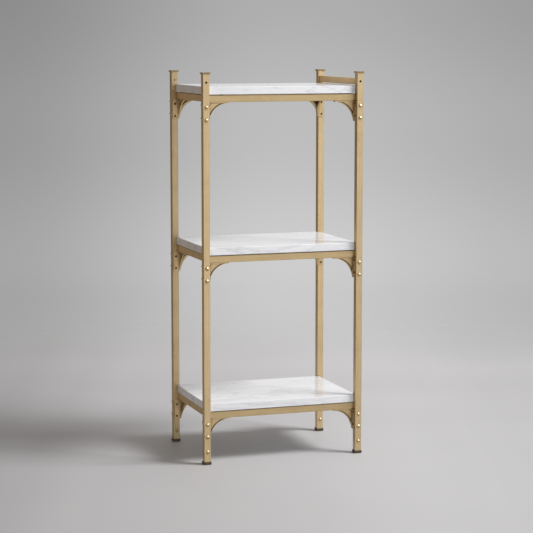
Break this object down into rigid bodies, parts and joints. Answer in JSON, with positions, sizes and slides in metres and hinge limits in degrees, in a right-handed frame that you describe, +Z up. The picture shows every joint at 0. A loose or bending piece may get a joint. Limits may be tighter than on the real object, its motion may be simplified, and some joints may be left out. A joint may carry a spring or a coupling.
{
  "type": "three-tier shelving unit",
  "caption": "Tall narrow shelving unit: square brass tube frame, arched corner brackets, polished marble shelves and a guard bar on one side.",
  "frame": {"origin": "centre of the footprint on the floor", "axes": "+Z up, -Y out of the front (a long side), +X to the right as seen from the front, where the guard bar is"},
  "size_m": [0.399, 0.283, 0.914],
  "materials": {
    "satin_brass": "satin brushed",
    "screw_brass": "polished",
    "marble": "polished, faint grey veins",
    "foot_plastic": "matt",
    "pad_rubber": "matt"
  },
  "bodies": {
    "root": {"bracket_bottom_back_left": "satin_brass", "bracket_bottom_back_right": "satin_brass", "bracket_bottom_front_left": "satin_brass", "bracket_bottom_front_right": "satin_brass", "bracket_bottom_left_back": "satin_brass", "bracket_bottom_left_front": "satin_brass", "bracket_bottom_right_back": "satin_brass", "bracket_bottom_right_front": "satin_brass", "bracket_middle_back_left": "satin_brass", "bracket_middle_back_right": "satin_brass", "bracket_middle_front_left": "satin_brass", "bracket_middle_front_right": "satin_brass", "bracket_middle_left_back": "satin_brass", "bracket_middle_left_front": "satin_brass", "bracket_middle_right_back": "satin_brass", "bracket_middle_right_front": "satin_brass", "bracket_screws_front_back": "screw_brass", "bracket_screws_left_right": "screw_brass", "bracket_top_back_left": "satin_brass", "bracket_top_back_right": "satin_brass", "bracket_top_front_left": "satin_brass", "bracket_top_front_right": "satin_brass", "bracket_top_left_back": "satin_brass", "bracket_top_left_front": "satin_brass", "bracket_top_right_back": "satin_brass", "bracket_top_right_front": "satin_brass", "cap_back_left": "satin_brass", "cap_back_right": "satin_brass", "cap_front_left": "satin_brass", "cap_front_right": "satin_brass", "foot_back_left": "foot_plastic", "foot_back_right": "foot_plastic", "foot_front_left": "foot_plastic", "foot_front_right": "foot_plastic", "guard_bar": "satin_brass", "guard_bar_screws": "screw_brass", "leg_screws": "screw_brass", "post_back_left": "satin_brass", "post_back_right": "satin_brass", "post_front_left": "satin_brass", "post_front_right": "satin_brass", "rail_bottom_back": "satin_brass", "rail_bottom_front": "satin_brass", "rail_bottom_left": "satin_brass", "rail_bottom_right": "satin_brass", "rail_middle_back": "satin_brass", "rail_middle_front": "satin_brass", "rail_middle_left": "satin_brass", "rail_middle_right": "satin_brass", "rail_top_back": "satin_brass", "rail_top_front": "satin_brass", "rail_top_left": "satin_brass", "rail_top_right": "satin_brass", "slab_bottom": "marble", "slab_middle": "marble", "slab_pads": "pad_rubber", "slab_top": "marble"}
  },
  "joints": []
}
